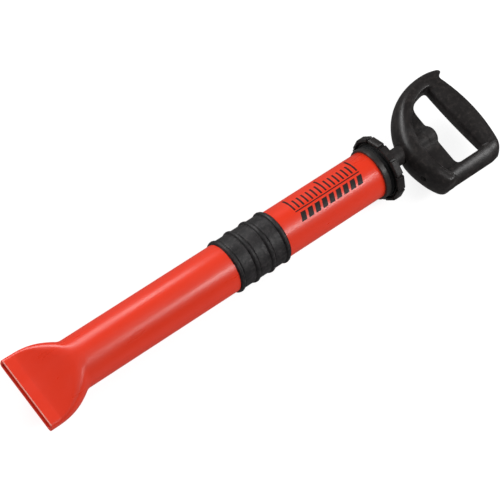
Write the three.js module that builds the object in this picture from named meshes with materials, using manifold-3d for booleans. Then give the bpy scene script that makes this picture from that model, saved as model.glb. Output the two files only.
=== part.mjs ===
// Hand-pushed mortar gun: a round barrel that is pressed into a wide flat nozzle at its front end, a ribbed
// rubber sleeve to hold it by, a lugged screw cap, and a plunger with a D-shaped handle, pushed right in.
//
// Everything is laid out inside one group whose X axis is the barrel's axis and whose X values ("stations")
// are distances from the nozzle's mouth. The group is then set down so that the gun lies on the cap's lugs.

import * as THREE from "three";
import { mergeVertices } from "three/addons/utils/BufferGeometryUtils.js";
import Module from "manifold-3d";

const wasm = await Module();
wasm.setup();

// ---------------------------------------------------------------- driving dimensions, millimetres

const LENGTH = 624; // mouth to the back of the grip
const GAP = 0.3; // between pieces that touch or turn in one another

const BORE = 25.5; // radius inside the barrel
const TUBE = 28.5; // radius outside the barrel, in front of the sleeve
const REAR_TUBE = 28.1; // radius outside the barrel, behind the sleeve
const BARREL_END = 481.6;

const MOUTH_HALF_WIDTH = 44.5;
const MOUTH_HALF_HEIGHT = 7;
const MOUTH_WALL = 2.6;
const FOLD_RADIUS = 4.5; // where a flat face meets a side of the nozzle
const FLARE_END = 59; // the sides run back into the round tube here
const RAMP_START = 13; // the flat faces start to rise here
const RAMP_END = 57;

const SLEEVE_START = 259.9;
const SLEEVE_END = 329.4;
const SLEEVE = 29.6; // radius between the beads
const BEAD_HEIGHT = 1.75;
const BEAD_HALF_WIDTH = 2.7;
const BEAD_PITCH = 20.9;
const BEADS = 4;

const COLLAR_START = 465.9;
const COLLAR_BAND_END = 472.3;
const COLLAR_BAND = 30.9;
const THREAD_CORE = 29.9;
const THREAD_PITCH = 4;
const THREAD_START = BARREL_END - 7.3;

const CAP_FRONT = 478;
const FLANGE_REAR = 485.9;
const FLANGE = 36.4;
const LUGS = 12;
const LUG_FLAT = 38.2; // from the axis to a lug's flat outer face
const LUG_WIDTH = 17;
const LUG_FRONT = 476.5;
const CAP_BORE = 31.8;
const CAP_FLOOR = 484.1;
const CAP_REAR = 487.3;
const HUB = 17;
const HUB_REAR = 492.6;
const BUSH = 14;

const ROD = 10.5;
const ROD_BORE = 8.3;
const ROD_FRONT = 92.1;
const ROD_REAR = 527.3;
const BOLT = 4; // radius of both M8 bolts
const BOLT_HEAD = 7.2; // across the corners, as a radius
const BOLT_HEAD_HEIGHT = 5.3;
const WASHER = 1.6; // thickness
const LOCK_WASHER = 2;

const BOW_X = 595.6; // centre of the handle's round bow
const BOW_Y = -20.5;
const BOW = 84.5; // radius to the bow's outer face
const BOW_CREST = 73; // radius at which the bow is highest
const BOW_INNER = 65.5;
const BOW_EAR = 72; // degrees, where the bow ends past the grip
const BOW_LOBE = 215; // degrees, where it ends at the lower front corner
const BOW_HALF_HEIGHT = 20;
const EAR_HALF_HEIGHT = 9;
const WEB_REAR = 559.2;
const WEB_HALF_HEIGHT = 5;
const BOSS = 10.8;
const BOSS_REAR = 562.6;
const SOCKET_FLOOR = 527.6;
const ARM_Y = -54.9;
const ARM_HALF_WIDTH = 9.8;
const ARM_HALF_HEIGHT = 11;
const GRIP_FRONT = 592.2; // the straight front face, level with the barrel's axis
const GRIP_LEAN = 0.075; // how far the front face moves back for each millimetre towards -Y
const GRIP_ARCH = 204; // radius of the arched rear face
const GRIP_ARCH_Y = -9; // where the rear face is furthest back
const GRIP_TOP = 58;
const GRIP_BOTTOM = -61;
const GRIP_HALF_HEIGHT = 13.5;
const GRIP_X = (GRIP_FRONT + LENGTH) / 2;

const AXIS_HEIGHT = LUG_FLAT; // the gun lies on the flat of the lowest lug

const BARREL_SIDES = 48;
const SIDES = 40;
const SMALL_SIDES = 24;

// ---------------------------------------------------------------- materials

const plastic = (color, roughness) => new THREE.MeshStandardMaterial({ color, roughness, metalness: 0 });
const metal = (color, roughness) => new THREE.MeshStandardMaterial({ color, roughness, metalness: 1 });

const RED_PLASTIC = plastic(0xe13c23, 0.28);
const BLACK_PLASTIC = plastic(0x282626, 0.42);
const BLACK_RUBBER = plastic(0x323032, 0.7);
const WHITE_PLASTIC = plastic(0xd9d6cc, 0.5);
const ZINC = metal(0xb8bcc0, 0.35);

// ---------------------------------------------------------------- geometry helpers

const radians = (degrees) => THREE.MathUtils.degToRad(degrees);

// A turned piece: [station, radius] points spun round the X axis.
function turned(profile, sides = SIDES) {
  const points = profile.map(([station, radius]) => new THREE.Vector2(radius, station));
  return new THREE.LatheGeometry(points, sides).rotateZ(-Math.PI / 2);
}

function ring(front, rear, inner, outer, sides = SIDES) {
  return turned([[front, inner], [rear, inner], [rear, outer], [front, outer], [front, inner]], sides);
}

function rod(front, rear, radius, sides = SMALL_SIDES) {
  return turned([[front, 0], [front, radius], [rear, radius], [rear, 0]], sides);
}

// A closed skin over a run of sections: place(along, u, v) puts the point (u, v) of a unit disc into the
// section that lies at "along", which runs from 0 to 1.
function sweep(sides, steps, place) {
  const geometry = new THREE.CylinderGeometry(1, 1, 1, sides, steps);
  const position = geometry.attributes.position;
  for (let i = 0; i < position.count; i++) {
    const point = place(position.getY(i) + 0.5, position.getX(i), position.getZ(i));
    position.setXYZ(i, ...point);
  }
  return geometry;
}

// Six times the signed volume: negative when the faces point inwards.
function signedVolume(geometry) {
  const { array } = geometry.attributes.position;
  const corner = (i) => new THREE.Vector3(...array.slice(3 * i, 3 * i + 3));
  const index = geometry.index.array;
  let sum = 0;
  for (let i = 0; i < index.length; i += 3) {
    sum += corner(index[i]).dot(corner(index[i + 1]).cross(corner(index[i + 2])));
  }
  return sum;
}

// A closed surface with shared corners, its faces pointing out.
function closed(geometry) {
  geometry.deleteAttribute("normal");
  geometry.deleteAttribute("uv");
  const merged = mergeVertices(geometry, 1e-4);
  const index = [];
  for (let i = 0; i < merged.index.count; i += 3) {
    const [a, b, c] = merged.index.array.slice(i, i + 3);
    if (a !== b && b !== c && c !== a) index.push(a, b, c);
  }
  merged.setIndex(index);
  if (signedVolume(merged) < 0) merged.setIndex(index.reverse());
  return merged;
}

function solid(geometry) {
  const surface = closed(geometry);
  return new wasm.Manifold(new wasm.Mesh({
    numProp: 3,
    vertProperties: new Float32Array(surface.attributes.position.array),
    triVerts: new Uint32Array(surface.index.array),
  }));
}

function surfaceOf(manifold) {
  const { vertProperties, triVerts } = manifold.getMesh();
  const geometry = new THREE.BufferGeometry();
  geometry.setAttribute("position", new THREE.BufferAttribute(new Float32Array(vertProperties), 3));
  geometry.setIndex([...triVerts]);
  return geometry;
}

const joined = (geometries) => geometries.map(solid).reduce((whole, piece) => whole.add(piece));
const cut = (body, holes) => surfaceOf(holes.map(solid).reduce((left, hole) => left.subtract(hole), body));

// A hexagon bolt along X.
function bolt(headFront, shankFront, shankRear) {
  const head = rod(headFront, headFront + BOLT_HEAD_HEIGHT, BOLT_HEAD, 6);
  return surfaceOf(joined([head, rod(shankFront, shankRear, BOLT)]));
}

function washer(front, thickness, radius) {
  return ring(front, front + thickness, BOLT + GAP, radius, SMALL_SIDES);
}

// One V-shaped thread ridge on a right-hand helix about +X. It passes through "start" at turn 0.
function threadRidge(start, fromTurn, toTurn, radius, height) {
  const halfWidth = 1.1;
  const steps = Math.round((toTurn - fromTurn) * 20);
  return sweep(4, steps, (along, u, v) => {
    const turn = THREE.MathUtils.lerp(fromTurn, toTurn, along);
    const angle = 2 * Math.PI * turn;
    const r = radius + height * v;
    return [start + THREAD_PITCH * turn + halfWidth * u, r * Math.cos(angle), r * Math.sin(angle)];
  });
}

// ---------------------------------------------------------------- barrel with its pressed nozzle

function nozzleHalfWidth(station) {
  if (station >= FLARE_END) return TUBE;
  const flare = Math.cos((Math.PI / 2) * (Math.max(station, 0) / FLARE_END) ** 1.57);
  return TUBE + (MOUTH_HALF_WIDTH - TUBE) * flare;
}

function nozzleHalfHeight(station) {
  const ramp = THREE.MathUtils.clamp((station - RAMP_START) / (RAMP_END - RAMP_START), 0, 1);
  return MOUTH_HALF_HEIGHT + (TUBE - MOUTH_HALF_HEIGHT) * ramp ** 1.25;
}

// The section of the nozzle: a flat top and bottom, and sides that keep the roundness of the tube, joined by
// small folds. (u, v) points to a place on the outline, with even spacing round it.
function nozzlePoint(u, v, halfWidth, halfHeight, tube) {
  const fold = Math.min(FOLD_RADIUS, halfHeight - 0.5);
  const steepness = Math.asin((halfHeight - fold) / (tube - fold));
  const flat = halfWidth - tube + (tube - fold) * Math.cos(steepness);
  const foldLength = fold * (Math.PI / 2 - steepness);
  const quarter = flat + foldLength + tube * steepness;
  const distance = quarter * (Math.atan2(Math.abs(u), Math.abs(v)) / (Math.PI / 2));
  let y = distance;
  let z = halfHeight;
  if (distance > flat + foldLength) {
    const angle = (quarter - distance) / tube;
    y = halfWidth - tube + tube * Math.cos(angle);
    z = tube * Math.sin(angle);
  } else if (distance > flat) {
    const angle = Math.PI / 2 - (distance - flat) / fold;
    y = flat + fold * Math.cos(angle);
    z = halfHeight - fold + fold * Math.sin(angle);
  }
  const reach = Math.hypot(u, v);
  return [reach * Math.sign(u) * y, reach * Math.sign(v) * z];
}

function barrel() {
  const nozzle = [0, 8, 15, 21, 27, 33, 39, 45, 50, 54, RAMP_END, FLARE_END];
  const step = (SLEEVE_START + SLEEVE_END) / 2;
  const outerStations = [...nozzle, step, step + 1, BARREL_END];
  const outer = sweep(BARREL_SIDES, outerStations.length - 1, (along, u, v) => {
    const station = outerStations[Math.round(along * (outerStations.length - 1))];
    const thinner = station > step ? TUBE - REAR_TUBE : 0;
    const size = [nozzleHalfWidth(station), nozzleHalfHeight(station), TUBE].map((r) => r - thinner);
    return [station, ...nozzlePoint(u, v, ...size)];
  });
  const innerStations = [-1, ...nozzle, BARREL_END + 1];
  const inner = sweep(BARREL_SIDES, innerStations.length - 1, (along, u, v) => {
    const station = innerStations[Math.round(along * (innerStations.length - 1))];
    const backFromMouth = THREE.MathUtils.clamp(station / FLARE_END, 0, 1);
    const wall = THREE.MathUtils.lerp(MOUTH_WALL, TUBE - BORE, backFromMouth);
    const size = [nozzleHalfWidth(station), nozzleHalfHeight(station), TUBE].map((r) => r - wall);
    return [station, ...nozzlePoint(u, v, ...size)];
  });
  return cut(solid(outer), [inner]);
}

// ---------------------------------------------------------------- sleeve, collar, cap

function gripSleeve() {
  const inner = TUBE + GAP;
  const profile = [[SLEEVE_START, inner], [SLEEVE_START, SLEEVE]];
  const firstBead = (SLEEVE_START + SLEEVE_END - (BEADS - 1) * BEAD_PITCH) / 2;
  for (let bead = 0; bead < BEADS; bead++) {
    for (const angle of [180, 130, 50, 0]) {
      const across = BEAD_HALF_WIDTH * Math.cos(radians(angle));
      const up = BEAD_HEIGHT * Math.sin(radians(angle));
      profile.push([firstBead + bead * BEAD_PITCH + across, SLEEVE + up / Math.sin(radians(50))]);
    }
  }
  profile.push([SLEEVE_END, SLEEVE], [SLEEVE_END, inner], [SLEEVE_START, inner]);
  return turned(profile);
}

function threadCollar() {
  const inner = REAR_TUBE + GAP;
  const body = turned([
    [COLLAR_START, inner],
    [BARREL_END, inner],
    [BARREL_END, THREAD_CORE],
    [COLLAR_BAND_END + 1, THREAD_CORE],
    [COLLAR_BAND_END, THREAD_CORE - 0.6],
    [COLLAR_BAND_END, COLLAR_BAND],
    [COLLAR_START + 0.6, COLLAR_BAND],
    [COLLAR_START, COLLAR_BAND - 0.6],
    [COLLAR_START, inner],
  ]);
  return surfaceOf(joined([body, threadRidge(THREAD_START, 0, 1.5, THREAD_CORE, 1.3)]));
}

function endCap() {
  const body = turned([
    [CAP_FRONT, CAP_BORE],
    [CAP_FLOOR, CAP_BORE],
    [CAP_FLOOR, BUSH + GAP],
    [HUB_REAR, BUSH + GAP],
    [HUB_REAR, HUB - 1],
    [HUB_REAR - 1, HUB],
    [CAP_REAR, HUB],
    [CAP_REAR, FLANGE - 4],
    [FLANGE_REAR, FLANGE - 2.5],
    [FLANGE_REAR, FLANGE],
    [CAP_FRONT, FLANGE],
    [CAP_FRONT, CAP_BORE],
  ]);
  const lugInner = CAP_BORE + 1;
  const lugs = Array.from({ length: LUGS }, (_, i) => {
    const block = new THREE.BoxGeometry(FLANGE_REAR - LUG_FRONT, LUG_WIDTH, LUG_FLAT - lugInner);
    block.translate((FLANGE_REAR + LUG_FRONT) / 2, 0, (LUG_FLAT + lugInner) / 2);
    return block.rotateX((i * 2 * Math.PI) / LUGS);
  });
  // The cap's thread runs half a pitch behind the collar's.
  const thread = threadRidge(THREAD_START + THREAD_PITCH / 2, 0.6, 1.5, CAP_BORE + 0.2, 1.4);
  const clearBore = rod(LUG_FRONT - 1, CAP_FRONT, CAP_BORE, SIDES);
  const shell = solid(cut(joined([body, ...lugs]), [clearBore]));
  return surfaceOf(shell.add(solid(thread)));
}

function guideBush() {
  const flangeFront = CAP_FLOOR - 3.2;
  const flangeRear = CAP_FLOOR - GAP;
  const inner = ROD + GAP;
  return turned([
    [flangeFront, inner],
    [HUB_REAR - 1.6, inner],
    [HUB_REAR - 1.6, BUSH],
    [flangeRear, BUSH],
    [flangeRear, BUSH + 4],
    [flangeFront, BUSH + 4],
    [flangeFront, inner],
  ], SMALL_SIDES);
}

// ---------------------------------------------------------------- piston, at the front end of the rod

const BACK_PLATE_FRONT = ROD_FRONT - GAP - 4;
const CUP_REAR = BACK_PLATE_FRONT - GAP;
const CUP_FLOOR = CUP_REAR - 3;
const PRESSURE_PLATE_FRONT = CUP_FLOOR - GAP - 7;
const PISTON_WASHER_FRONT = PRESSURE_PLATE_FRONT - GAP - WASHER;
const PISTON_LOCK_FRONT = PISTON_WASHER_FRONT - GAP - LOCK_WASHER;
const PISTON_HEAD_REAR = PISTON_LOCK_FRONT - GAP;

function pistonCup() {
  const outer = BORE - GAP;
  const lipFront = CUP_FLOOR - 11.5;
  return turned([
    [CUP_REAR, BOLT + GAP],
    [CUP_FLOOR, BOLT + GAP],
    [CUP_FLOOR, outer - 3],
    [lipFront, outer - 1.2],
    [lipFront, outer],
    [CUP_REAR - 1, outer],
    [CUP_REAR, outer - 1],
    [CUP_REAR, BOLT + GAP],
  ]);
}

// ---------------------------------------------------------------- D-handle, one moulding

const RECESS_FLOOR = BOSS_REAR - 10.4;
const HANDLE_WASHER_REAR = RECESS_FLOOR + GAP + WASHER;
const HANDLE_LOCK_REAR = HANDLE_WASHER_REAR + GAP + LOCK_WASHER;
const HANDLE_HEAD_FRONT = HANDLE_LOCK_REAR + GAP;

// The bow's half height falls from the yoke, where the rod goes in, to the ear.
function bowHalfHeight(degrees) {
  const towardsYoke = THREE.MathUtils.smoothstep(degrees, BOW_EAR, 160);
  return THREE.MathUtils.lerp(EAR_HALF_HEIGHT, BOW_HALF_HEIGHT, towardsYoke);
}

// How full a section is near a rounded end: 1 inside, falling to almost 0 over the last "length" of a run.
function roundedEnd(distanceToEnd, length) {
  const inside = THREE.MathUtils.clamp(distanceToEnd / length, 0.02, 1);
  return Math.sqrt(1 - (1 - inside) ** 2);
}

function bow() {
  const middle = (BOW + BOW_INNER) / 2;
  return sweep(16, 22, (along, u, v) => {
    const degrees = THREE.MathUtils.lerp(BOW_EAR, BOW_LOBE, along);
    const full = roundedEnd(degrees - BOW_EAR, 7) * roundedEnd(BOW_LOBE - degrees, 8);
    const reach = u > 0 ? BOW - BOW_CREST : BOW_CREST - BOW_INNER;
    const radius = middle + full * (BOW_CREST + reach * u - middle);
    const angle = radians(degrees);
    const height = full * bowHalfHeight(degrees) * v;
    return [BOW_X + radius * Math.cos(angle), BOW_Y + radius * Math.sin(angle), height];
  });
}

function web() {
  const outer = (BOW + BOW_CREST) / 2 - 2;
  const top = Math.sqrt(outer ** 2 - (WEB_REAR - BOW_X) ** 2);
  const shape = new THREE.Shape();
  shape.moveTo(WEB_REAR, ARM_Y);
  shape.lineTo(WEB_REAR, BOW_Y + top);
  shape.absarc(BOW_X, BOW_Y, outer, Math.atan2(top, WEB_REAR - BOW_X), radians(206), false);
  const depth = 2 * WEB_HALF_HEIGHT;
  return new THREE.ExtrudeGeometry(shape, { depth, bevelEnabled: false, curveSegments: 12 })
    .translate(0, 0, -WEB_HALF_HEIGHT);
}

function lowerArm() {
  const start = WEB_REAR - 34;
  const end = GRIP_X + 6;
  return sweep(14, 8, (along, u, v) => {
    const x = THREE.MathUtils.lerp(start, end, along);
    const full = roundedEnd(x - start, 8) * roundedEnd(end - x, 12);
    return [x, ARM_Y + full * ARM_HALF_WIDTH * u, full * ARM_HALF_HEIGHT * v];
  });
}

function grip() {
  return sweep(16, 14, (along, u, v) => {
    const y = THREE.MathUtils.lerp(GRIP_BOTTOM, GRIP_TOP, along);
    const full = roundedEnd(y - GRIP_BOTTOM, 14) * roundedEnd(GRIP_TOP - y, 5);
    const front = GRIP_FRONT - GRIP_LEAN * y;
    const rear = LENGTH - (y - GRIP_ARCH_Y) ** 2 / (2 * GRIP_ARCH);
    const x = (front + rear) / 2 + (full * (rear - front) * u) / 2;
    return [x, y, full * GRIP_HALF_HEIGHT * v];
  });
}

function dHandle() {
  const boss = turned([
    [SOCKET_FLOOR, 0],
    [SOCKET_FLOOR, BOSS],
    [BOSS_REAR - 2.5, BOSS],
    [BOSS_REAR - 0.7, BOSS - 0.8],
    [BOSS_REAR, BOSS - 2.3],
    [BOSS_REAR, 0],
  ], SMALL_SIDES);
  const socket = rod(BOW_X - BOW - 4, SOCKET_FLOOR, ROD + GAP);
  const boltHole = rod(SOCKET_FLOOR - 1, BOSS_REAR, BOLT + GAP);
  const headRecess = rod(RECESS_FLOOR, BOSS_REAR + 1, BOLT_HEAD + 1);
  return cut(joined([bow(), web(), lowerArm(), grip(), boss]), [socket, boltHole, headRecess]);
}

// ---------------------------------------------------------------- the assembly

const gun = new THREE.Group();
gun.position.set(-LENGTH / 2, 0, AXIS_HEIGHT);

function add(name, geometry, material) {
  const mesh = new THREE.Mesh(closed(geometry), material);
  mesh.name = name;
  gun.add(mesh);
}

add("barrel", barrel(), RED_PLASTIC);
add("grip_sleeve", gripSleeve(), BLACK_RUBBER);
add("thread_collar", threadCollar(), BLACK_PLASTIC);

add("cap_gasket", ring(BARREL_END + GAP, CAP_FLOOR - GAP, BORE - 0.7, 30.2), BLACK_RUBBER);
add("end_cap", endCap(), BLACK_PLASTIC);
add("guide_bush", guideBush(), WHITE_PLASTIC);
add("rod_wiper", ring(HUB_REAR - 1.3, HUB_REAR + 1, ROD + GAP, BUSH, SMALL_SIDES), BLACK_RUBBER);

add("piston_back_plate", ring(BACK_PLATE_FRONT, ROD_FRONT - GAP, BOLT + GAP, BORE - 1.5), WHITE_PLASTIC);
add("piston_cup", pistonCup(), BLACK_RUBBER);
add("piston_pressure_plate", ring(PRESSURE_PLATE_FRONT, CUP_FLOOR - GAP, BOLT + GAP, 20.5), WHITE_PLASTIC);

add("plunger_rod", ring(ROD_FRONT, ROD_REAR, ROD_BORE, ROD, SMALL_SIDES), BLACK_PLASTIC);
add("rod_front_plug", ring(ROD_FRONT, ROD_FRONT + 28, BOLT + GAP, ROD_BORE - GAP, SMALL_SIDES), ZINC);
add("rod_rear_plug", ring(ROD_REAR - 30, ROD_REAR, BOLT + GAP, ROD_BORE - GAP, SMALL_SIDES), ZINC);
add("piston_washer", washer(PISTON_WASHER_FRONT, WASHER, 10), ZINC);
add("piston_lock_washer", washer(PISTON_LOCK_FRONT, LOCK_WASHER, 6.6), ZINC);
add("piston_bolt", bolt(PISTON_HEAD_REAR - BOLT_HEAD_HEIGHT, PISTON_HEAD_REAR - 1, ROD_FRONT + 22), ZINC);
add("stop_bumper", ring(ROD_FRONT + 0.5, ROD_FRONT + 8, ROD + GAP, 15.5, SMALL_SIDES), BLACK_RUBBER);
add("d_handle", dHandle(), BLACK_PLASTIC);
add("handle_washer", washer(HANDLE_WASHER_REAR - WASHER, WASHER, 7.7), ZINC);
add("handle_lock_washer", washer(HANDLE_LOCK_REAR - LOCK_WASHER, LOCK_WASHER, 6.6), ZINC);
add("handle_bolt", bolt(HANDLE_HEAD_FRONT, ROD_REAR - 24, HANDLE_HEAD_FRONT + 1), ZINC);

export default gun;
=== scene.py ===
"""The looks of a hand-pushed mortar gun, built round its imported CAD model.

The model's frame: +X runs along the barrel from the nozzle to the handle, +Z points up and the gun lies on
the plane z = 0. Pieces are laid out in millimetres as (station, y, height): a station is the distance behind
the nozzle's mouth, and heights are counted from the barrel's axis. The camera stands on the -Y side.
"""
import math

import bmesh
import bpy
import numpy as np
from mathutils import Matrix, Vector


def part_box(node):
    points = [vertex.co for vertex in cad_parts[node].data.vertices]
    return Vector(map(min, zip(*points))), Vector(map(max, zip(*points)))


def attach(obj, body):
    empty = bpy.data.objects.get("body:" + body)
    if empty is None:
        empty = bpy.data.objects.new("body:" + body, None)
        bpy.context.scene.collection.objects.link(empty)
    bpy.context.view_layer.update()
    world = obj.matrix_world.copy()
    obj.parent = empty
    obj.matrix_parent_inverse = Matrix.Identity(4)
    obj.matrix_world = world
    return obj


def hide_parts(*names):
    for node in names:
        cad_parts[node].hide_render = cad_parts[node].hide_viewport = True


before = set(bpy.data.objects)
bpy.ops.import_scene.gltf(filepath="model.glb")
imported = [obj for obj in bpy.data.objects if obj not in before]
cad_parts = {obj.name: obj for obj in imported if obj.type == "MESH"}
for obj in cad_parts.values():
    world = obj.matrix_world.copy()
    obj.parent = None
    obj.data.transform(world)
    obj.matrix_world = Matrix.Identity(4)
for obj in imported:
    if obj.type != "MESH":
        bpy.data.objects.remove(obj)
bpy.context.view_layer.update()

import openvdb
from mathutils import Matrix, Vector

MM = 0.001

# ---------------------------------------------------------------- places taken from the frame

BARREL_LOW, BARREL_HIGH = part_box("barrel")
MOUTH_X = BARREL_LOW.x
AXIS_Z = (BARREL_LOW.z + BARREL_HIGH.z) / 2


def station(distance):
    """The X of a place that many millimetres behind the nozzle's mouth."""
    return MOUTH_X + distance * MM


def extent(node):
    """A node's front station, rear station and half width, in millimetres."""
    low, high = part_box(node)
    return (low.x - MOUTH_X) / MM, (high.x - MOUTH_X) / MM, (high.y - low.y) / 2 / MM


# ---------------------------------------------------------------- driving dimensions, millimetres

GAP = 0.3                       # between pieces that touch or turn in one another

BARREL_END, MOUTH_HALF_WIDTH = extent("barrel")[1:]
TUBE = (BARREL_HIGH.z - BARREL_LOW.z) / 2 / MM
BORE = TUBE - 3.0
REAR_TUBE = TUBE - 0.4
MOUTH_HALF_HEIGHT = 7.0
MOUTH_WALL = 2.6
FLARE_END = 59.0                # the nozzle's sides run back into the round tube here
RAMP_START = 13.0               # its flat faces start to rise here
RAMP_END = 57.0
FLARE_POWER = 1.57              # how late the sides run in
RAMP_POWER = 1.25               # how late the flat faces rise
FOLD = 3.6                      # how softly a flat face turns into a side at the mouth
CREASE = 4.0                    # how much softer it gets towards the tube

SLEEVE_START, SLEEVE_END = extent("grip_sleeve")[:2]
SLEEVE = 29.6
BEADS = 4
BEAD_PITCH = 20.9
BEAD_HEIGHT = extent("grip_sleeve")[2] - SLEEVE
BEAD_HALF_WIDTH = 2.4

COLLAR_START = extent("thread_collar")[0]
COLLAR_BAND_END = COLLAR_START + 6.4
COLLAR_BAND = 30.9
THREAD_CORE = 29.9
THREAD_PITCH = 4.0
THREAD_START = BARREL_END - 7.3
THREAD_HALF_WIDTH = 1.1

LUG_FRONT, HUB_REAR, LUG_FLAT = extent("end_cap")
CAP_FRONT = LUG_FRONT + 1.5
FLANGE_REAR = CAP_FRONT + 7.9
FLANGE = LUG_FLAT - 1.8
LUGS = 12
LUG_HALF_ANGLE = 12.7           # degrees
CAP_BORE = 31.8
RIM_BORE = FLANGE - 1.2         # a groove runs round the cap's front, between this and CAP_SKIRT
CAP_SKIRT = CAP_BORE + 0.9
GROOVE_FLOOR = CAP_FRONT + 5.0
CAP_FLOOR = FLANGE_REAR - 1.8
CAP_REAR = FLANGE_REAR + 1.4
HUB = 17.0
BUSH = 14.0

ROD_FRONT, ROD_REAR, ROD = extent("plunger_rod")
ROD_BORE = ROD - 2.2
BOLT = 4.0                      # radius of both M8 bolts
BOLT_PITCH = 1.25
HEAD_FLAT = 6.25                # from a bolt head's middle to one of its flats

BOW_X, BOW_Y = 595.6, -20.0     # centre of the handle's round bow
BOW_INNER = 66.5                # radii of the bow's inner edge, highest line and outer face
BOW_CREST = 74.0
BOW_OUTER = 83.3
BOW_HALF_HEIGHT = 9.5           # where it leaves the grip
BOW_RISE = 10.5                 # how much that grows towards its front
ARM_INNER = 45.9                # the straight arm's distances from the barrel's axis
ARM_CREST = 48.7
ARM_OUTER = 64.7
ARM_HALF_HEIGHT = 11.2
GRIP_FRONT = 592.2              # level with the barrel's axis
GRIP_REAR = 623.6
GRIP_LEAN = 0.075               # how far the front face moves back for each millimetre towards -Y
GRIP_HALF_HEIGHT = 13.6
WEB_EDGE = 559.3
WEB_HALF_THICKNESS = 5.0
SOCKET_FLOOR = ROD_REAR + GAP
BOSS = 10.7
NECK = 10.0
BOSS_REAR = 562.6
RECESS = 8.2
RECESS_FLOOR = BOSS_REAR - 10.4

# ---------------------------------------------------------------- mesh helpers


def skin(rows, wrap=True):
    """Points and faces over a stack of rings. The last ring joins the first, or else both ends are capped."""
    count, columns = rows.shape[:2]
    index = np.arange(count * columns).reshape(count, columns)
    following = np.roll(index, -1, axis=0)
    quads = np.stack([index, np.roll(index, -1, 1), np.roll(following, -1, 1), following], axis=-1)
    if wrap:
        return rows.reshape(-1, 3), quads.reshape(-1, 4).tolist()
    faces = quads[:-1].reshape(-1, 4).tolist()
    return rows.reshape(-1, 3), faces + [index[0, ::-1].tolist(), index[-1].tolist()]


def merged(parts):
    """Several (points, faces) pairs as one."""
    points, faces, start = [], [], 0
    for part_points, part_faces in parts:
        points.append(part_points)
        faces += [[start + corner for corner in face] for face in part_faces]
        start += len(part_points)
    return np.concatenate(points), faces


def piece(name, surface, body, material, stands_for=(), sharp=38.0):
    """A smooth-shaded mesh object; edges that turn by more than "sharp" degrees stay crisp."""
    points, faces = surface
    places = np.asarray(points, dtype=float) * MM + (MOUTH_X, 0.0, AXIS_Z)
    mesh = bpy.data.meshes.new(name)
    mesh.from_pydata(places.tolist(), [], faces)
    tidy = bmesh.new()
    tidy.from_mesh(mesh)
    bmesh.ops.remove_doubles(tidy, verts=tidy.verts, dist=0.001 * MM)
    bmesh.ops.recalc_face_normals(tidy, faces=tidy.faces)
    tidy.to_mesh(mesh)
    tidy.free()
    mesh.shade_smooth()
    mesh.set_sharp_from_angle(angle=math.radians(sharp))
    mesh.materials.append(material)
    made = bpy.data.objects.new(name, mesh)
    bpy.context.collection.objects.link(made)
    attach(made, body)
    if stands_for:
        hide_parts(*stands_for)
    return made


def rounded(corners, arc_steps=4):
    """A closed outline from corners (station, radius, rounding), with an arc for each rounded corner."""
    outline = []
    for i, (x, r, rounding) in enumerate(corners):
        here = np.array((x, r))
        to_before = np.array(corners[i - 1][:2]) - here
        to_after = np.array(corners[(i + 1) % len(corners)][:2]) - here
        if rounding == 0:
            outline.append(here)
            continue
        to_before = to_before / np.linalg.norm(to_before)
        to_after = to_after / np.linalg.norm(to_after)
        half = math.acos(np.clip(to_before @ to_after, -1, 1)) / 2
        middle = to_before + to_after
        centre = here + middle / np.linalg.norm(middle) * rounding / math.sin(half)
        first = here + to_before * rounding / math.tan(half) - centre
        last = here + to_after * rounding / math.tan(half) - centre
        start = math.atan2(first[1], first[0])
        turn = math.remainder(math.atan2(last[1], last[0]) - start, math.tau)
        for step in range(arc_steps + 1):
            angle = start + turn * step / arc_steps
            outline.append(centre + rounding * np.array((math.cos(angle), math.sin(angle))))
    return np.array(outline)


def turned(outline, sides=96, angles=None, shape=None):
    """Rings for an outline of (station, radius) points turned about the barrel's axis. shape(station, radius,
    angle) may bend the rings."""
    if angles is None:
        angles = np.arange(sides) * math.tau / sides
    along = np.repeat(outline[:, :1], len(angles), axis=1)
    radius = np.repeat(outline[:, 1:], len(angles), axis=1)
    if shape:
        along, radius = shape(along, radius, angles[None, :])
    return np.stack([along, radius * np.cos(angles), radius * np.sin(angles)], axis=-1)


def tube_piece(name, corners, body, material, sides=96):
    """A turned piece that stands for the CAD node of the same name."""
    return piece(f"{name}_fine", skin(turned(rounded(corners), sides)), body, material, [name])


def smooth_step(value, low, high):
    ramp = np.clip((value - low) / (high - low), 0, 1)
    return ramp * ramp * (3 - 2 * ramp)


def soft_max(a, b, softness):
    """The larger of two distances, with a round where they cross."""
    overlap = np.maximum(softness - np.abs(a - b), 0) / softness
    return np.maximum(a, b) + overlap * overlap * softness / 4


def soft_min(a, b, softness):
    return -soft_max(-a, -b, softness)


def ridge_on_helix(along, angle, start, first_turn, last_turn):
    """How high (0 to 1) a trapezoid thread stands at a place; its ends fade out over a tenth of a turn."""
    height = np.zeros(np.broadcast(along, angle).shape)
    for whole in range(3):
        turn = angle / math.tau + whole
        offset = np.abs(along - start - THREAD_PITCH * turn) / THREAD_HALF_WIDTH
        begun = smooth_step(turn, first_turn, first_turn + 0.1)
        ended = smooth_step(turn, last_turn - 0.1, last_turn)
        height = np.maximum(height, begun * (1 - ended) * np.clip(1.5 * (1 - offset), 0, 1))
    return height


# ---------------------------------------------------------------- materials


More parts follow.
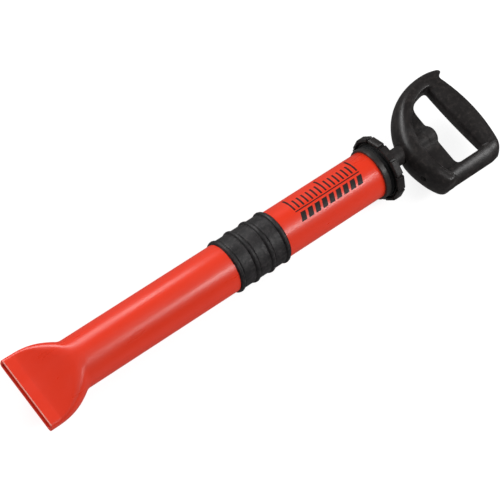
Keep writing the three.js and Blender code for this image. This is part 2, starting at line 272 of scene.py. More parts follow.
class Finish:
    """A Principled material whose detail comes from procedural nodes in the piece's own coordinates."""

    def __init__(self, name, **values):
        self.material = bpy.data.materials.new(name)
        self.material.use_nodes = True
        self.tree = self.material.node_tree
        self.shader = self.tree.nodes["Principled BSDF"]
        self.place = self.tree.nodes.new("ShaderNodeTexCoord").outputs["Object"]
        self.height = None
        for socket, value in values.items():
            self.shader.inputs[socket.replace("_", " ")].default_value = value

    def node(self, kind, **values):
        made = self.tree.nodes.new(kind)
        for key, value in values.items():
            setattr(made, key, value)
        return made

    def link(self, source, target):
        self.tree.links.new(source, target)

    def noise(self, size_mm, stretch=(1, 1, 1), detail=3.0, roughness=0.55, seed=0.0):
        """Noise with features of about that many millimetres, longer along the axes with a stretch over 1."""
        mapping = self.node("ShaderNodeMapping")
        mapping.inputs["Scale"].default_value = [1 / s for s in stretch]
        mapping.inputs["Location"].default_value = (seed, seed, seed)
        noise = self.node("ShaderNodeTexNoise")
        noise.inputs["Scale"].default_value = 1 / (size_mm * MM)
        noise.inputs["Detail"].default_value = detail
        noise.inputs["Roughness"].default_value = roughness
        self.link(self.place, mapping.inputs["Vector"])
        self.link(mapping.outputs["Vector"], noise.inputs["Vector"])
        return noise.outputs["Fac"]

    def remap(self, source, low, high, from_low=0.3, from_high=0.7):
        node = self.node("ShaderNodeMapRange")
        node.inputs["From Min"].default_value = from_low
        node.inputs["From Max"].default_value = from_high
        if isinstance(low, bpy.types.NodeSocket):
            self.link(low, node.inputs["To Min"])
        else:
            node.inputs["To Min"].default_value = low
        node.inputs["To Max"].default_value = high
        self.link(source, node.inputs["Value"])
        return node.outputs["Result"]

    def past(self, axis, start, end):
        """0 before one place on the X, Y or Z axis and 1 past another."""
        apart = self.node("ShaderNodeSeparateXYZ")
        self.link(self.place, apart.inputs["Vector"])
        return self.remap(apart.outputs[axis], 0, 1, start, end)

    def product(self, factors):
        whole = factors[0]
        for factor in factors[1:]:
            node = self.node("ShaderNodeMath", operation="MULTIPLY")
            self.link(whole, node.inputs[0])
            self.link(factor, node.inputs[1])
            whole = node.outputs[0]
        return whole

    def inside(self, box, margin=3 * MM):
        """1 inside a box of (axis, low, high) bounds, and 0 further out than the margin."""
        factors = [self.past(axis, low - margin, low) for axis, low, _ in box]
        return self.product(factors + [self.past(axis, high + margin, high) for axis, _, high in box])

    def blend(self, factor, first, second):
        """A colour between two colours; either may be a socket."""
        node = self.node("ShaderNodeMix", data_type="RGBA")
        self.link(factor, node.inputs["Factor"])
        for socket, value in ((node.inputs[6], first), (node.inputs[7], second)):
            if isinstance(value, bpy.types.NodeSocket):
                self.link(value, socket)
            else:
                socket.default_value = (*value, 1)
        return node.outputs[2]

    def colour(self, source):
        self.link(source, self.shader.inputs["Base Color"])

    def roughness(self, source):
        self.link(source, self.shader.inputs["Roughness"])

    def bump(self, source, depth_mm):
        """One more layer of bump, that many millimetres deep."""
        node = self.node("ShaderNodeBump")
        node.inputs["Strength"].default_value = 1.0
        node.inputs["Distance"].default_value = depth_mm * MM
        self.link(source, node.inputs["Height"])
        if self.height is not None:
            self.link(self.height, node.inputs["Normal"])
        self.height = node.outputs["Normal"]
        self.link(self.height, self.shader.inputs["Normal"])


def red_plastic():
    """Glossy red; the mouth's upper edge is painted pale, a painted highlight along its rounded rim."""
    finish = Finish("red_plastic", IOR=1.55)
    patchy = finish.remap(finish.noise(70, (3, 1, 1)), 0, 1)
    tone = finish.blend(patchy, (0.72, 0.030, 0.008), (0.77, 0.038, 0.011))
    scuff = finish.remap(finish.noise(9, (1, 1, 1), 8, 0.75, 3.1), 0, 0.5, 0.62, 0.80)
    tone = finish.blend(scuff, tone, (0.62, 0.10, 0.07))
    # Painted highlight: the upper edge of the mouth's rim is painted pale, standing in for the glint of light
    # along it.
    before = finish.past("X", station(1.1), station(0.7))
    above = finish.past("Z", AXIS_Z + 6.1 * MM, AXIS_Z + 6.4 * MM)
    finish.colour(finish.blend(finish.product([before, above]), tone, (0.85, 0.34, 0.28)))
    finish.roughness(finish.remap(finish.noise(14, (6, 1, 1), 6), 0.26, 0.38))
    finish.bump(finish.noise(1.2, (40, 1, 1), 2), 0.010)
    finish.bump(finish.noise(5, (1, 1, 1), 2), 0.03)
    return finish.material


def black_plastic(name="black_plastic", grain=0.012, dull=None):
    """Satin black. Inside the "dull" box, given as (axis, low, high) bounds, it is unpolished."""
    finish = Finish(name, IOR=1.46)
    patchy = finish.remap(finish.noise(25), 0, 1)
    tone = finish.blend(patchy, (0.008, 0.0068, 0.0068), (0.016, 0.0138, 0.0134))
    dust = finish.remap(finish.noise(5, (1, 1, 1), 9, 0.8, 5.3), 0, 0.7, 0.50, 0.74)
    finish.colour(finish.blend(dust, tone, (0.062, 0.051, 0.048)))
    uneven = finish.remap(finish.noise(7, (1, 1, 1), 8, 0.75), 0.30, 0.43)
    if dull:
        uneven = finish.remap(finish.inside(dull), uneven, 0.62, 0.0, 1.0)
    finish.roughness(uneven)
    finish.bump(finish.noise(0.35, (1, 1, 1), 2), grain)
    finish.bump(finish.noise(2.2, (1, 1, 1), 3, 0.6, 8.1), 2 * grain)
    finish.bump(finish.noise(9, (1, 1, 1), 2, 0.5, 1.7), 0.05)
    return finish.material


def collar_black():
    """The collar's band is handled and satin; the thread behind it is painted near black, a painted shade for
    the recess it sits in.
    """
    finish = Finish("collar_black", IOR=1.46)
    # Painted shade: past the band the thread is coloured near black, standing in for the shade in the recess
    # in front of the cap.
    thread = finish.past("X", station(COLLAR_BAND_END - 0.1), station(COLLAR_BAND_END + 0.4))
    dust = finish.remap(finish.noise(5, (1, 1, 1), 9, 0.8, 5.3), 0, 0.7, 0.50, 0.74)
    band = finish.blend(dust, (0.022, 0.020, 0.019), (0.055, 0.050, 0.048))
    finish.colour(finish.blend(thread, band, (0.0035, 0.0035, 0.004)))
    worn = finish.remap(finish.noise(7, (1, 1, 1), 8, 0.75), 0.34, 0.50)
    finish.roughness(finish.remap(finish.product([worn, thread]), 0.40, 0.75, 0.0, 0.5))
    finish.bump(finish.noise(0.35, (1, 1, 1), 2), 0.012)
    finish.bump(finish.noise(9, (1, 1, 1), 2, 0.5, 1.7), 0.05)
    return finish.material


def black_rubber():
    finish = Finish("black_rubber", IOR=1.5)
    tone = finish.blend(finish.remap(finish.noise(8), 0, 1), (0.004, 0.0035, 0.004), (0.017, 0.015, 0.016))
    dust = finish.remap(finish.noise(3.5, (1, 1, 1), 10, 0.85, 2.2), 0, 0.8, 0.50, 0.68)
    finish.colour(finish.blend(dust, tone, (0.070, 0.062, 0.061)))
    finish.roughness(finish.remap(finish.noise(5, (1, 1, 1), 8, 0.75), 0.38, 0.70))
    finish.bump(finish.noise(0.5, (1, 1, 1), 3), 0.03)
    finish.bump(finish.noise(2.5, (1, 1, 1), 4, 0.6, 6.5), 0.09)
    finish.bump(finish.noise(6, (1, 1, 1), 3, 0.5, 4.0), 0.08)
    return finish.material


def white_plastic():
    finish = Finish("white_plastic", IOR=1.5)
    finish.colour(finish.blend(finish.remap(finish.noise(8), 0, 1), (0.62, 0.60, 0.54), (0.72, 0.70, 0.65)))
    finish.roughness(finish.remap(finish.noise(4, (1, 1, 1), 5), 0.38, 0.52))
    finish.bump(finish.noise(0.8, (1, 1, 1), 3), 0.02)
    return finish.material


def zinc_steel():
    finish = Finish("zinc_steel", Metallic=1.0)
    spangle = finish.remap(finish.noise(3, (1, 1, 1), 6), 0, 1)
    finish.colour(finish.blend(spangle, (0.50, 0.52, 0.54), (0.68, 0.68, 0.66)))
    finish.roughness(finish.remap(finish.noise(1.5, (1, 1, 1), 8), 0.26, 0.46))
    finish.bump(finish.noise(0.3, (1, 1, 1), 3), 0.008)
    return finish.material


def black_ink():
    finish = Finish("black_ink", IOR=1.38)
    worn = finish.remap(finish.noise(1.5, (1, 1, 1), 7), 0, 1)
    finish.colour(finish.blend(worn, (0.008, 0.006, 0.006), (0.018, 0.012, 0.011)))
    finish.roughness(finish.remap(finish.noise(2, (4, 1, 1), 5), 0.42, 0.58))
    finish.bump(finish.noise(0.4, (1, 1, 1), 2), 0.006)
    return finish.material


RED = red_plastic()
BLACK = black_plastic()
COLLAR_BLACK = collar_black()
BOSS_BOX = [("X", station(530), station(566)), ("Y", -14 * MM, 14 * MM)]
HANDLE_BLACK = black_plastic("handle_black", 0.010, BOSS_BOX)
ROD_BLACK = black_plastic("rod_black", 0.012, [("X", station(0), station(600))])
RUBBER = black_rubber()
WHITE = white_plastic()
ZINC = zinc_steel()
INK = black_ink()

# ---------------------------------------------------------------- barrel with its pressed nozzle


def nozzle_section(behind_mouth, inset, sides=256):
    """A ring of evenly spaced points round the barrel's section, moved in from its outer face by "inset"."""
    flare = math.cos(math.pi / 2 * min(max(behind_mouth, 0) / FLARE_END, 1.3) ** FLARE_POWER)
    spread = float(soft_max((MOUTH_HALF_WIDTH - TUBE) * flare, 0.0, 2.4))
    ramp = max((behind_mouth - RAMP_START) / (RAMP_END - RAMP_START), 0)
    half_height = MOUTH_HALF_HEIGHT + (TUBE - MOUTH_HALF_HEIGHT) * ramp ** RAMP_POWER
    softness = FOLD + CREASE * float(smooth_step(behind_mouth, 18, 48))
    angles = np.linspace(0, math.tau, 2049)
    across, up = np.cos(angles), np.sin(angles)
    near, far = np.zeros_like(angles), np.full_like(angles, MOUTH_HALF_WIDTH + 1)
    for _ in range(32):
        reach = (near + far) / 2
        side = np.hypot(np.maximum(np.abs(reach * across) - spread, 0), reach * up) - (TUBE - inset)
        flat = np.abs(reach * up) - (half_height - inset)
        outside = soft_max(side, flat, softness) > 0
        near, far = np.where(outside, near, reach), np.where(outside, reach, far)
    y, z = near * across, near * up
    walked = np.concatenate([[0], np.cumsum(np.hypot(np.diff(y), np.diff(z)))])
    even = np.arange(sides) / sides * walked[-1]
    even_y = np.interp(even, walked, y)
    even_z = np.interp(even, walked, z)
    return np.stack([np.full(sides, behind_mouth), even_y, even_z], axis=-1)


def barrel():
    rim = 0.8
    rows = [(rim * (1 - math.cos(a)), rim * (1 - math.sin(a))) for a in np.linspace(0, math.pi / 2, 5)]
    nozzle = np.arange(1.6, RAMP_END + 14, 0.9)
    under_sleeve = (SLEEVE_START + SLEEVE_END) / 2
    step_in = TUBE - REAR_TUBE
    rows += [(along, 0.0) for along in nozzle]
    rows += [(along, 0.0) for along in (80, 110, 160, 210, under_sleeve)]
    rows += [(under_sleeve + 2, step_in), (380, step_in), (430, step_in), (BARREL_END - 0.5, step_in)]
    rows += [(BARREL_END, step_in + 0.5), (BARREL_END, TUBE - BORE - 0.4), (BARREL_END - 0.4, TUBE - BORE)]
    rows += [(along, TUBE - BORE) for along in (400, 300, 200, 110)]
    for along in reversed(nozzle):
        rows.append((along, MOUTH_WALL + (TUBE - BORE - MOUTH_WALL) * min(along / FLARE_END, 1)))
    rows += [(0.3, MOUTH_WALL), (0, MOUTH_WALL - 0.3)]
    rings = np.stack([nozzle_section(along, inset) for along, inset in rows])
    piece("barrel_tube", skin(rings), "barrel", RED, ["barrel"], 60.0)


def printed_patch(first, last, low, high, lean=0.0):
    """A thin patch of ink on the rear of the barrel, between two stations and two angles in degrees from the
    top towards the -Y side. A negative lean moves the patch's high-angle edge forward along the barrel."""
    degrees = np.linspace(low, high, max(3, int(abs(high - low) / 2) + 1))
    shift = lean * (degrees - low) / (high - low)
    around = np.radians(degrees)
    rings = []
    for front_or_back, radius in ((0, -0.06), (0, 0.07), (1, 0.07), (1, -0.06)):
        along = (last if front_or_back else first) + shift
        reach = REAR_TUBE + radius
        rings.append(np.stack([along, -reach * np.sin(around), reach * np.cos(around)], axis=-1))
    return skin(np.stack(rings, axis=1), wrap=False)


def printed_marks():
    """A plain measuring scale and a row of slanted blocks."""
    ticks = 15
    pitch = 6.3
    first = 354.0
    line_width = 2.2
    patches = [printed_patch(first, first + pitch * (ticks - 1) + line_width, -6.0, -3.5)]
    for tick in range(ticks):
        along = first + pitch * tick
        reach = -54.0 if tick % 7 == 0 else -36.0
        patches.append(printed_patch(along, along + line_width, reach, -9.0))
    for block in range(9):
        along = first + 4 + block * 10.0
        patches.append(printed_patch(along, along + 6.8, 2.0, 22.0, lean=-4.0))
    piece("barrel_scale", merged(patches), "barrel", INK)


# ---------------------------------------------------------------- sleeve, collar and cap


def grip_sleeve():
    inner = TUBE + 0.05
    along = np.arange(SLEEVE_START + 0.5, SLEEVE_END - 0.45, 0.3)
    radius = np.full_like(along, SLEEVE)
    first_bead = (SLEEVE_START + SLEEVE_END - (BEADS - 1) * BEAD_PITCH) / 2
    for bead in range(BEADS):
        offset = np.abs(along - first_bead - bead * BEAD_PITCH)
        radius += BEAD_HEIGHT * np.sqrt(np.clip(1 - (offset / BEAD_HALF_WIDTH) ** 2, 0, 1))
        radius -= 0.7 * np.exp(-(((offset - BEAD_HALF_WIDTH - 0.5) / 0.5) ** 2))
    for end in (SLEEVE_START, SLEEVE_END):
        radius -= 0.35 * np.exp(-(((np.abs(along - end) - 2.6) / 0.45) ** 2))
    outer = np.stack([along, radius], axis=-1)
    edges = [(SLEEVE_END - 0.15, SLEEVE - 0.15), (SLEEVE_END, SLEEVE - 0.5), (SLEEVE_END, inner)]
    edges += [(SLEEVE_START, inner), (SLEEVE_START, SLEEVE - 0.5), (SLEEVE_START + 0.15, SLEEVE - 0.15)]
    outline = np.concatenate([outer, np.array(edges)])
    surface = skin(turned(outline, 128))
    piece("sleeve_rubber", surface, "barrel", RUBBER, ["grip_sleeve"], 50.0)


def thread_collar():
    inner = REAR_TUBE + 0.05
    front = rounded([
        (COLLAR_START, inner, 0.2),
        (COLLAR_START, COLLAR_BAND, 0.6),
        (COLLAR_BAND_END, COLLAR_BAND, 0.3),
        (COLLAR_BAND_END, THREAD_CORE - 0.6, 0.2),
        (COLLAR_BAND_END + 1.2, THREAD_CORE, 0.3),
        (BARREL_END, THREAD_CORE, 0.4),
        (BARREL_END, inner, 0.2),
    ])
    thread_from = COLLAR_BAND_END + 1.2
    fine = [(x, THREAD_CORE) for x in np.arange(thread_from + 0.4, BARREL_END - 0.5, 0.22)]
    split = int(np.argmax(front[:, 0] >= thread_from + 0.3))
    rows = np.concatenate([front[:split], fine, front[split:]])

    def threaded(along, radius, angle):
        outside = radius > THREAD_CORE - 0.05
        behind_band = along > thread_from
        height = ridge_on_helix(along, angle, THREAD_START, 0.0, 1.5)
        return along, radius + 1.3 * height * (outside & behind_band)

    rings = turned(rows, 144, shape=threaded)
    piece("collar_thread", skin(rings), "barrel", COLLAR_BLACK, ["thread_collar"])


def cap_angles():
    """Angles that put close rows of points along both sides of each lug."""
    beside = LUG_HALF_ANGLE + np.array([-0.7, -0.35, 0.0, 0.35, 0.7, 1.4])
    half = np.concatenate([[3, 6, 9], beside])
    offsets = np.concatenate([[-15], -half[::-1], [0], half])
    return np.radians(np.concatenate([360 / LUGS * lug + offsets for lug in range(LUGS)]))


def end_cap():
    hub_bore = BUSH + 0.05
    outline = rounded([
        (CAP_FRONT, CAP_BORE, 0.3),
        (CAP_FRONT, CAP_SKIRT, 0.3),
        (GROOVE_FLOOR, CAP_SKIRT, 0.3),
        (GROOVE_FLOOR, RIM_BORE, 0.3),
        (CAP_FRONT, RIM_BORE, 0.4),
        (CAP_FRONT, FLANGE, 0.6),
        (FLANGE_REAR, FLANGE, 0.8),
        (FLANGE_REAR, FLANGE - 2.5, 0.5),
        (CAP_REAR, FLANGE - 4.0, 0.8),
        (CAP_REAR, HUB, 1.2),
        (HUB_REAR, HUB, 1.0),
        (HUB_REAR, hub_bore, 0.3),
        (CAP_FLOOR, hub_bore, 0.3),
        (CAP_FLOOR, CAP_BORE, 0.4),
    ])
    thread_rows = [(x, CAP_BORE) for x in np.arange(CAP_FLOOR - 0.5, CAP_FRONT + 0.5, -0.22)]
    outline = np.concatenate([outline, np.array(thread_rows)])

    def lugged(along, radius, angle):
        offset = np.degrees(angle) % (360 / LUGS)
        offset = np.minimum(offset, 360 / LUGS - offset)
        lug = 1 - smooth_step(offset, LUG_HALF_ANGLE - 0.55, LUG_HALF_ANGLE + 0.55)
        forward = np.clip((CAP_FRONT + 1.2 - along) / 1.2, 0, 1) * (radius > RIM_BORE - 0.1)
        outward = np.clip((radius - FLANGE + 1.0), 0, 1) * (along < FLANGE_REAR + 0.1)
        flat = LUG_FLAT / np.cos(np.radians(offset)) - FLANGE
        thread = ridge_on_helix(along, angle % math.tau, THREAD_START + THREAD_PITCH / 2, 0.6, 1.5)
        on_bore = (np.abs(radius - CAP_BORE) < 0.01) & (along > CAP_FRONT + 0.4) & (along < CAP_FLOOR - 0.4)
        along = along - (CAP_FRONT - LUG_FRONT) * lug * forward
        return along, radius + flat * lug * outward - 1.2 * thread * on_bore

    rings = turned(outline, angles=cap_angles(), shape=lugged)
    piece("cap_lugged", skin(rings), "cap", BLACK, ["end_cap"], 32.0)


def cap_fittings():
    front, rear, outer = extent("cap_gasket")
    tube_piece("cap_gasket", [
        (front, BORE - 0.7, 0.3),
        (front, outer, 0.4),
        (rear, outer, 0.4),
        (rear, BORE - 0.7, 0.3),
    ], "cap_seal", RUBBER)
    front, rear, outer = extent("guide_bush")
    tube_piece("guide_bush", [
        (front, ROD + GAP, 0.4),
        (front, outer, 0.8),
        (CAP_FLOOR - GAP, outer, 0.3),
        (CAP_FLOOR - GAP, BUSH, 0.2),
        (rear, BUSH, 0.3),
        (rear, ROD + GAP, 0.3),
    ], "cap", WHITE)
    front, rear, outer = extent("rod_wiper")
    tube_piece("rod_wiper", [
        (front, ROD + GAP, 0.2),
        (front, outer, 0.2),
        (rear - 0.9, outer, 0.4),
        (rear, ROD + 1.3, 0.3),
        (rear, ROD + GAP, 0.15),
    ], "cap", RUBBER)


# ---------------------------------------------------------------- piston and rod


def piston():
    front, rear, outer = extent("piston_back_plate")
    tube_piece("piston_back_plate", [
        (front, BOLT + GAP, 0.3),
        (front, outer, 0.8),
        (rear, outer, 0.8),
        (rear, BOLT + GAP, 0.3),
    ], "piston", WHITE)
    front, rear, outer = extent("piston_cup")
    tube_piece("piston_cup", [
        (rear - 3, BOLT + GAP, 0.3),
        (rear - 3, outer - 3, 1.6),
        (front, outer - 1.2, 0.4),
        (front, outer, 0.4),
        (rear, outer, 1.0),
        (rear, BOLT + GAP, 0.3),
    ], "piston", RUBBER, 128)
    front, rear, outer = extent("piston_pressure_plate")
    tube_piece("piston_pressure_plate", [
        (front, BOLT + GAP, 0.3),
        (front, 11.5, 0.4),
        (front + 1.0, 12.5, 0.4),
        (front + 1.0, outer, 1.2),
        (rear, outer, 0.8),
        (rear, BOLT + GAP, 0.3),
    ], "piston", WHITE)


def plunger_rod():
    tube_piece("plunger_rod", [
        (ROD_FRONT, ROD_BORE, 0.3),
        (ROD_FRONT, ROD, 0.6),
        (ROD_REAR, ROD, 0.6),
        (ROD_REAR, ROD_BORE, 0.3),
    ], "plunger", ROD_BLACK)
    for name in ("rod_front_plug", "rod_rear_plug"):
        front, rear, outer = extent(name)
        middle = (front + rear) / 2
        tube_piece(name, [
            (front, BOLT + GAP, 0.4),
            (front, outer, 0.5),
            (middle - 1.5, outer, 0.3),
            (middle - 1.0, outer - 0.6, 0.2),
            (middle + 1.0, outer - 0.6, 0.2),
            (middle + 1.5, outer, 0.3),
            (rear, outer, 0.5),
            (rear, BOLT + GAP, 0.4),
        ], "plunger", ZINC, 64)
    front, rear, outer = extent("stop_bumper")
    tube_piece("stop_bumper", [
        (front, ROD + 0.05, 0.3),
        (front, outer, 1.2),
        (rear - 1.5, outer, 1.0),
        (rear, outer - 2.0, 0.6),
        (rear, ROD + 0.05, 0.3),
    ], "plunger", RUBBER)


def washer(name):
    front, rear, outer = extent(name)
    tube_piece(name, [
        (front, BOLT + GAP, 0.15),
        (front, outer, 0.4),
        (rear, outer, 0.25),
        (rear, BOLT + GAP, 0.15),
    ], "plunger", ZINC, 64)


def lock_washer(name):
    """A split spring washer: a square wire that climbs a little on its way round."""
    front, rear, outer = extent(name)
    climb = 0.35
    inner = BOLT + GAP
    section = rounded([
        (front, inner, 0.2),
        (front, outer, 0.3),
        (rear - climb, outer, 0.3),
        (rear - climb, inner, 0.2),
    ], 2)
    rings = []
    for angle in np.radians(np.linspace(4, 352, 72)):
        along = section[:, 0] + climb * angle / math.tau
        across = section[:, 1] * math.cos(angle)
        up = section[:, 1] * math.sin(angle)
        rings.append(np.stack([along, across, up], axis=-1))
    piece(f"{name}_fine", skin(np.stack(rings), wrap=False), "plunger", ZINC, [name])


def bolt(name, shank_goes_back):
    """A hexagon bolt with a chamfered head and a cut thread; its head is in front if the shank goes back."""
    front, rear, _ = extent(name)
    length = rear - front
    head = 5.3
    core = BOLT - 0.75
    sides = 60
    outline = [(0.0, 0.02), (0.0, HEAD_FLAT - 1.0), (0.0, HEAD_FLAT - 0.2), (0.5, HEAD_FLAT + 0.9)]
    outline += [(head - 0.3, HEAD_FLAT + 0.9), (head, HEAD_FLAT), (head, BOLT + 0.5)]
    outline += [(head + 0.5, BOLT), (head + 5, BOLT)]
    outline += [(x, core) for x in np.arange(head + 5.3, length - 1, BOLT_PITCH / 4)]
    outline += [(length, core - 0.5), (length, 0.02)]

    def shaped(along, radius, angle):
        across = HEAD_FLAT / np.cos((angle % (math.tau / 6)) - math.tau / 12)
        on_head = (along <= head) & (radius > BOLT + 1)
        radius = np.where(on_head, np.minimum(radius, across), radius)
        in_thread = (along > head + 5.2) & (along < length - 0.8) & (np.abs(radius - core) < 0.01)
        phase = (along / BOLT_PITCH - angle / math.tau) % 1.0
        return along, radius + in_thread * 0.75 * (1 - np.abs(2 * phase - 1))

    rings = turned(np.array(outline), sides, shape=shaped)
    rings[..., 0] = front + rings[..., 0] if shank_goes_back else rear - rings[..., 0]
    piece(f"{name}_fine", skin(rings, wrap=False), "plunger", ZINC, [name], 30.0)


# ---------------------------------------------------------------- D-handle, one moulding


def oval_gap(a, b, half_a, half_b, power=2.0):
    """Roughly the distance from a place (a, b) to an oval; negative inside."""
    along_a, along_b = np.abs(a) / half_a, np.abs(b) / half_b
    size = np.maximum((along_a ** power + along_b ** power) ** (1 / power), 1e-4)
    slope = np.sqrt((along_a ** (power - 1) / half_a) ** 2 + (along_b ** (power - 1) / half_b) ** 2)
    return (size - 1) / np.maximum(slope * size ** (1 - power), 1e-4)


def rim_gap(out, z, inner, crest, outer, half_height, lip=0.9, bead=0.0, power=2.2):
    """The handle's frame section. It is highest at the crest, rounds down to the outer face and drops steeply
    at the inner edge, where a narrow bead may run along it."""
    face = oval_gap(out - crest, z, outer - crest, half_height, power)
    top = np.abs(z) - half_height * (1 - 0.10 * ((crest - out) / (crest - inner)) ** 2)
    top = top - bead * np.exp(-(((out - inner - 1.8) / 1.1) ** 2))
    return np.where(out > crest, face, soft_max(top, inner - out, 2 * lip))


def bow_gap(x, y, z):
    out = np.hypot(x - BOW_X, y - BOW_Y)
    degrees = np.degrees(np.arctan2(y - BOW_Y, x - BOW_X)) % 360
    fuller = smooth_step(degrees, 92, 140)
    fuller = fuller - 0.25 * smooth_step(degrees, 145, 165) - 1.1 * smooth_step(degrees, 172, 198)
    at_ear = 1 - smooth_step(degrees, 72, 84)
    inner = BOW_INNER - 2.5 * smooth_step(degrees, 130, 180) + 9.5 * at_ear
    crest = BOW_CREST - 2.6 * smooth_step(degrees, 122, 162) + 5.0 * at_ear
    outer = BOW_OUTER + 2.5 * fuller - 0.5 * at_ear
    half_height = BOW_HALF_HEIGHT + BOW_RISE * smooth_step(degrees, 68, 165)
    half_height = half_height - 3.0 * at_ear - 2.5 * smooth_step(degrees, 195, 216)
    bead = 1.5 * smooth_step(degrees, 135, 165)
    section = rim_gap(out, z, inner, crest, outer, half_height, bead=bead)
    past_ear = np.radians(71.6 - degrees) * out
    past_lobe = np.radians(np.where(degrees < 30, degrees + 360, degrees) - 219) * out
    ends = soft_max(soft_max(section, past_ear, 6.0), past_lobe, 9.0)
    return soft_max(ends, -64.9 - y, 9.0)


def arm_gap(x, y, z):
    lean = GRIP_LEAN * (x - 570) * 0.8
    section = rim_gap(-y, z, ARM_INNER, ARM_CREST - lean, ARM_OUTER, ARM_HALF_HEIGHT, lip=1.2, power=1.6)
    return soft_max(soft_max(section, 531 - x, 8.0), x - 612, 16.0)


def grip_gap(x, y, z):
    front = GRIP_FRONT - GRIP_LEAN * y + 0.9 * (y / 43) ** 2
    rear = GRIP_REAR - 0.00265 * (y + 11.5) ** 2
    half_height = GRIP_HALF_HEIGHT - 2.4 * (y / 50) ** 2
    section = oval_gap(x - (front + rear) / 2, z, (rear - front) / 2, half_height, 2.35)
    return soft_max(soft_max(section, y - 53.5, 6.0), -62.5 - y, 18.0)


def web_gap(x, y, z):
    """The thin web that closes the bow's front part, up to a straight edge."""
    out = np.hypot(x - BOW_X, y - BOW_Y)
    window = soft_max(soft_max(WEB_EDGE - x, out - 66.8, 9.0), -45.9 - y, 9.0)
    region = np.maximum(np.maximum(-window, out - 76), np.maximum(-55.5 - y, x - 590))
    return soft_max(np.abs(z) - WEB_HALF_THICKNESS, region, 1.6)


def boss_gap(x, y, z):
    out = np.hypot(y, z)
    neck = np.maximum(out - NECK, np.maximum(x - (BOSS_REAR - 4), BOW_X - 80 - x))
    knob = soft_max(out - BOSS, x - BOSS_REAR, 4.5)
    knob = soft_max(knob, BOSS_REAR - 13.5 - x, 1.2)
    return soft_min(neck, knob, 0.6)


def handle_gap(x, y, z):
    frame_ring = soft_min(bow_gap(x, y, z), arm_gap(x, y, z), 3.5)
    frame_ring = soft_min(frame_ring, grip_gap(x, y, z), 5.0)
    body = soft_min(frame_ring, web_gap(x, y, z), 2.5)
    body = soft_min(body, boss_gap(x, y, z), 3.0)
    out = np.hypot(y, z)
    socket = np.maximum(out - (ROD + GAP), x - SOCKET_FLOOR)
    bolt_hole = np.maximum(out - (BOLT + GAP), x - BOSS_REAR)
    recess = np.maximum(np.maximum(out - RECESS, RECESS_FLOOR - x), x - BOSS_REAR - 3)
    gate = oval_gap(np.hypot(x - 514.4, (y + 38.2) * 0.85), z - 2.5, 3.3, 3.2)
    holes = np.minimum(np.minimum(socket, bolt_hole), recess)
    return soft_max(soft_max(body, -holes, 1.0), -gate, 0.8)


def on_handle(points):
    """Points beside the handle's surface, moved onto it along the slope of handle_gap."""
    step = 0.05
    for _ in range(3):
        x, y, z = points.T
        gap = handle_gap(x, y, z)
        slope = [handle_gap(x + step, y, z), handle_gap(x, y + step, z), handle_gap(x, y, z + step)]
        slope = (np.stack(slope, axis=-1) - gap[:, None]) / step
        size = np.maximum(np.sum(slope * slope, axis=-1), 0.25)
        points = points - slope * np.clip(gap / size, -0.4, 0.4)[:, None]
    return points


def d_handle():
    voxel = 0.8
    low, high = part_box("d_handle")
    start = [(low.x - MOUTH_X) / MM - 4, low.y / MM - 4, (low.z - AXIS_Z) / MM - 4]
    stop = [(high.x - MOUTH_X) / MM + 4, high.y / MM + 4, (high.z - AXIS_Z) / MM + 4]
    axes = [np.arange(a, b, voxel) for a, b in zip(start, stop)]
    x, y, z = np.meshgrid(*axes, indexing="ij")
    gap = np.clip(handle_gap(x, y, z), -3 * voxel, 3 * voxel)
    grid = openvdb.FloatGrid(3 * voxel)
    grid.copyFromArray(gap)
    points, quads = grid.convertToQuads(isovalue=0.0)
    points = on_handle(points * voxel + np.array(start))
    surface = (points, quads.tolist())
    made = piece("handle_moulding", surface, "plunger", HANDLE_BLACK, ["d_handle"], 50.0)
    relax = made.modifiers.new("relax", "LAPLACIANSMOOTH")
    relax.iterations = 1
    relax.lambda_factor = 0.2


barrel()
printed_marks()
grip_sleeve()
thread_collar()
end_cap()
cap_fittings()
piston()
plunger_rod()
washer("piston_washer")
washer("handle_washer")
lock_washer("piston_lock_washer")
lock_washer("handle_lock_washer")
bolt("piston_bolt", shank_goes_back=True)
bolt("handle_bolt", shank_goes_back=False)
d_handle()

# ---------------------------------------------------------------- camera, lights and floor

VIEW_TILT = math.radians(24.2)   # how far the barrel leans away from the picture plane
VIEW_TURN = math.radians(14.0)   # how far the flat of the handle is turned towards the camera
VIEW_ROLL = math.radians(32.77)  # how far the barrel climbs across the picture
VIEW_DISTANCE = 2.35
FOCAL_LENGTH = 158.4
SENSOR = 36.0
VIEW_STATION = 297.1             # the picture's middle, and how far it lies off the axis
VIEW_OFFSET = 1.3


def view_axes():
    """Unit vectors: along the barrel's image, across it, and away from the camera."""
    along, across, up = Vector((1, 0, 0)), Vector((0, -1, 0)), Vector((0, 0, 1))
    near = math.sin(VIEW_TURN) * across + math.cos(VIEW_TURN) * up
    side = math.cos(VIEW_TURN) * across - math.sin(VIEW_TURN) * up
    image_along = math.cos(VIEW_TILT) * along + math.sin(VIEW_TILT) * near
    away = math.sin(VIEW_TILT) * along - math.cos(VIEW_TILT) * near
    return image_along, side, away


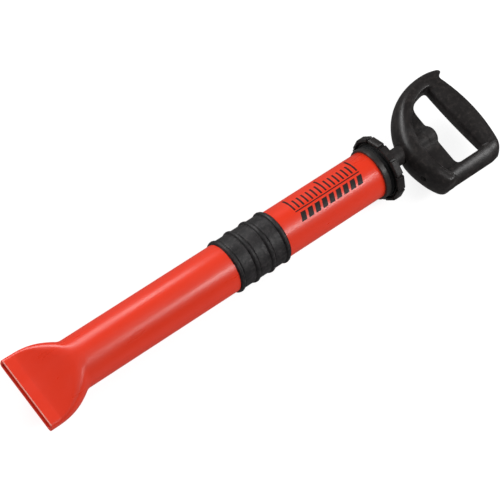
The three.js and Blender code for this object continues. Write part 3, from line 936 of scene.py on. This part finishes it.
def make_camera():
    image_along, side, away = view_axes()
    right = math.cos(VIEW_ROLL) * image_along + math.sin(VIEW_ROLL) * side
    down = math.cos(VIEW_ROLL) * side - math.sin(VIEW_ROLL) * image_along
    data = bpy.data.cameras.new("camera")
    data.lens = FOCAL_LENGTH
    data.sensor_width = SENSOR
    camera = bpy.data.objects.new("camera", data)
    bpy.context.collection.objects.link(camera)
    target = Vector((station(VIEW_STATION), 0, AXIS_Z)) - VIEW_OFFSET * MM * side
    axes = Matrix((right, -down, -away)).transposed()
    camera.matrix_world = Matrix.Translation(target - VIEW_DISTANCE * away) @ axes.to_4x4()
    bpy.context.scene.camera = camera


def softbox(name, direction, distance, size, power, lead=0.0):
    """A rectangular lamp that looks at the middle of the barrel; its long side lies along the barrel."""
    data = bpy.data.lights.new(name, "AREA")
    data.shape = "RECTANGLE"
    data.size, data.size_y = size
    data.energy = power
    lamp = bpy.data.objects.new(name, data)
    bpy.context.collection.objects.link(lamp)
    back = Vector(direction).normalized()
    long_side = Vector((1, 0, 0))
    long_side = (long_side - back * long_side.dot(back)).normalized()
    axes = Matrix((long_side, back.cross(long_side), back)).transposed()
    place = Vector((lead, 0, AXIS_Z)) + back * distance
    lamp.matrix_world = Matrix.Translation(place) @ axes.to_4x4()
    return lamp


def make_lights():
    softbox("side_softbox", (0.0, 0.85, 0.53), 1.5, (2.4, 0.46), 25, lead=-0.7)
    softbox("top_softbox", (0.0, -0.50, 0.87), 1.8, (2.4, 0.46), 31, lead=1.75)
    fill = softbox("overhead_fill", (0.15, -0.35, 0.94), 2.4, (3.0, 3.0), 31)
    fill.visible_glossy = False
    world = bpy.data.worlds.new("studio")
    world.use_nodes = True
    background = world.node_tree.nodes["Background"]
    background.inputs["Color"].default_value = (1, 1, 1, 1)
    background.inputs["Strength"].default_value = 0.125
    bpy.context.scene.world = world


def make_floor():
    """White paper on a light table, kept out of the object's reflections like the rest of a dark studio."""
    bpy.ops.mesh.primitive_plane_add(size=12, location=(0, 0, 0))
    floor = bpy.context.object
    floor.name = "floor"
    floor.visible_glossy = False
    material = bpy.data.materials.new("floor_paper")
    material.use_nodes = True
    shader = material.node_tree.nodes["Principled BSDF"]
    shader.inputs["Base Color"].default_value = (0.26, 0.26, 0.26, 1)
    shader.inputs["Roughness"].default_value = 0.9
    shader.inputs["Emission Color"].default_value = (1, 1, 1, 1)
    shader.inputs["Emission Strength"].default_value = 0.84
    floor.data.materials.append(material)


make_camera()
make_lights()
make_floor()
bpy.context.scene.view_settings.view_transform = "Standard"
